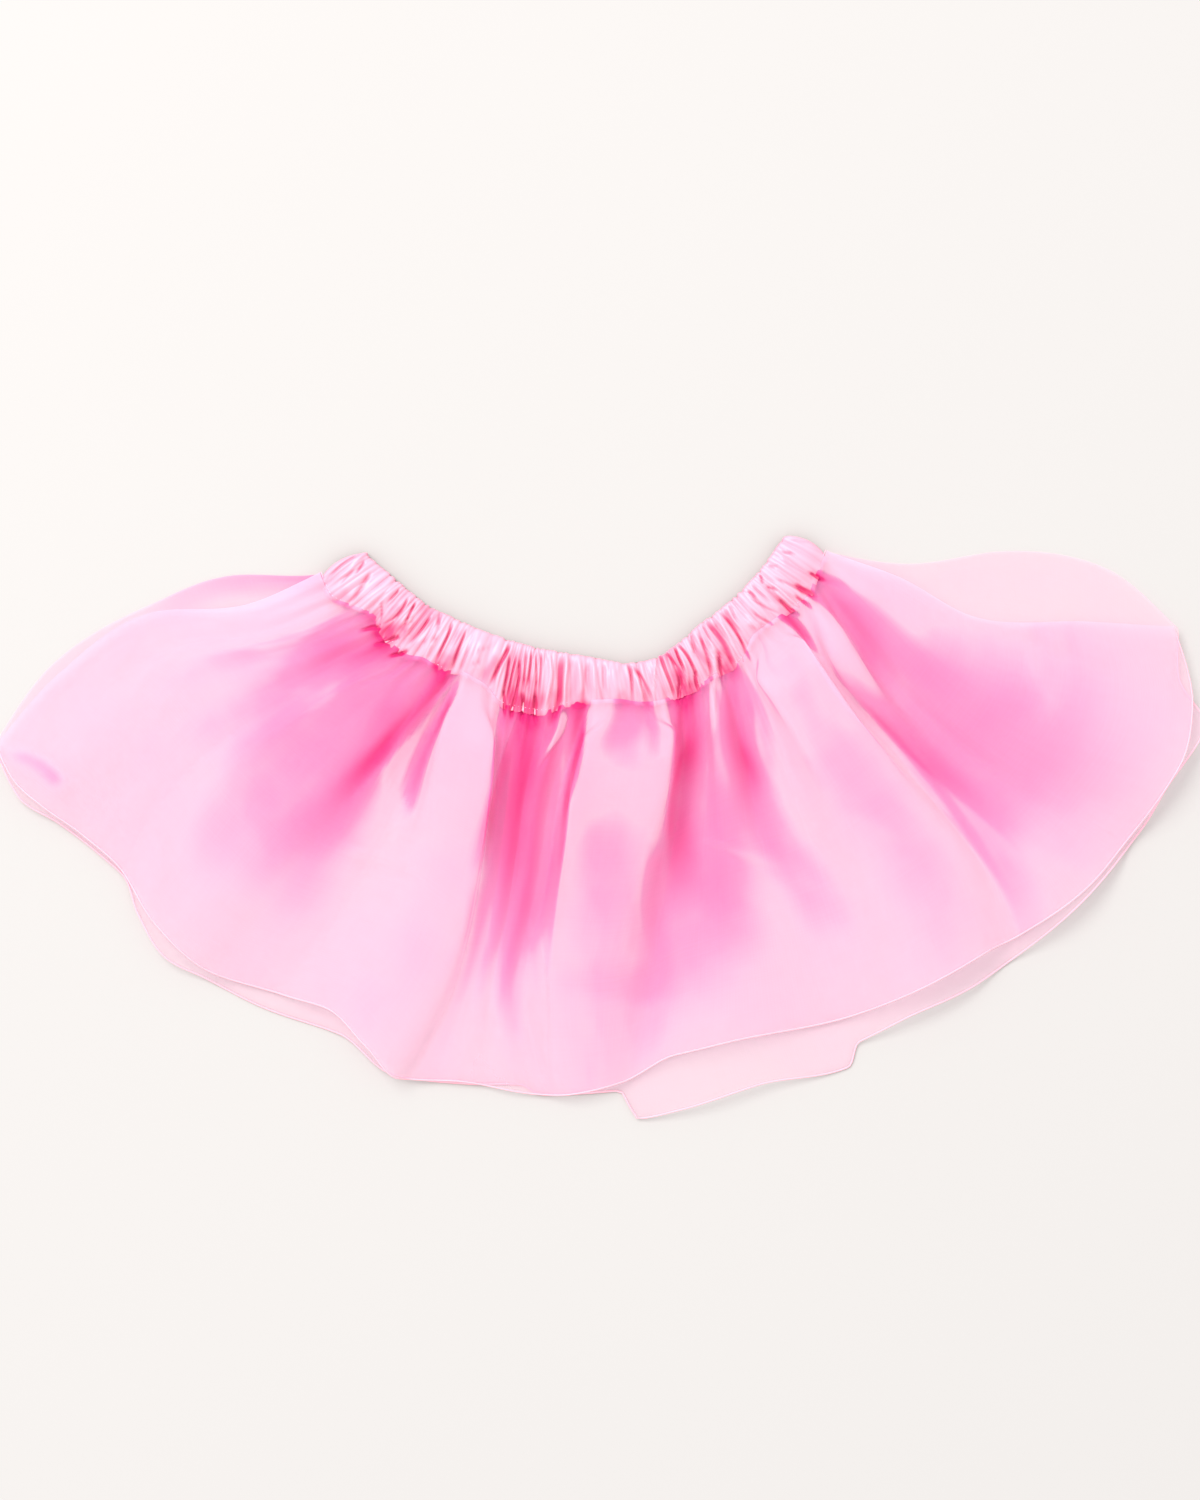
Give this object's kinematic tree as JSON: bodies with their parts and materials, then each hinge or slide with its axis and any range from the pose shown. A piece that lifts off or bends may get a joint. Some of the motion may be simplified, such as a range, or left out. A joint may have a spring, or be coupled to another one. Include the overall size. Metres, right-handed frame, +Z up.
{
  "type": "child's ballet tutu, laid flat",
  "caption": "Gathered organza ballet skirt laid flat: a curved elastic casing waistband over fanned front and back panels with soft flutes and a wavy hem.",
  "frame": {"origin": "bottom centre of the whole tutu's box, on the surface that it lies on", "axes": "+X along the tutu's width, towards the wearer's left; +Y from the hem towards the waistband; +Z up, away from the surface"},
  "size_m": [0.5068, 0.2456, 0.0219],
  "materials": {
    "pink organza": "sheer, softly glossy woven organza",
    "pink satin": "satin"
  },
  "bodies": {
    "root": {"skirt_front": "pink organza", "skirt_back": "pink organza", "waistband_front": "pink satin", "waistband_back": "pink satin"}
  },
  "joints": []
}
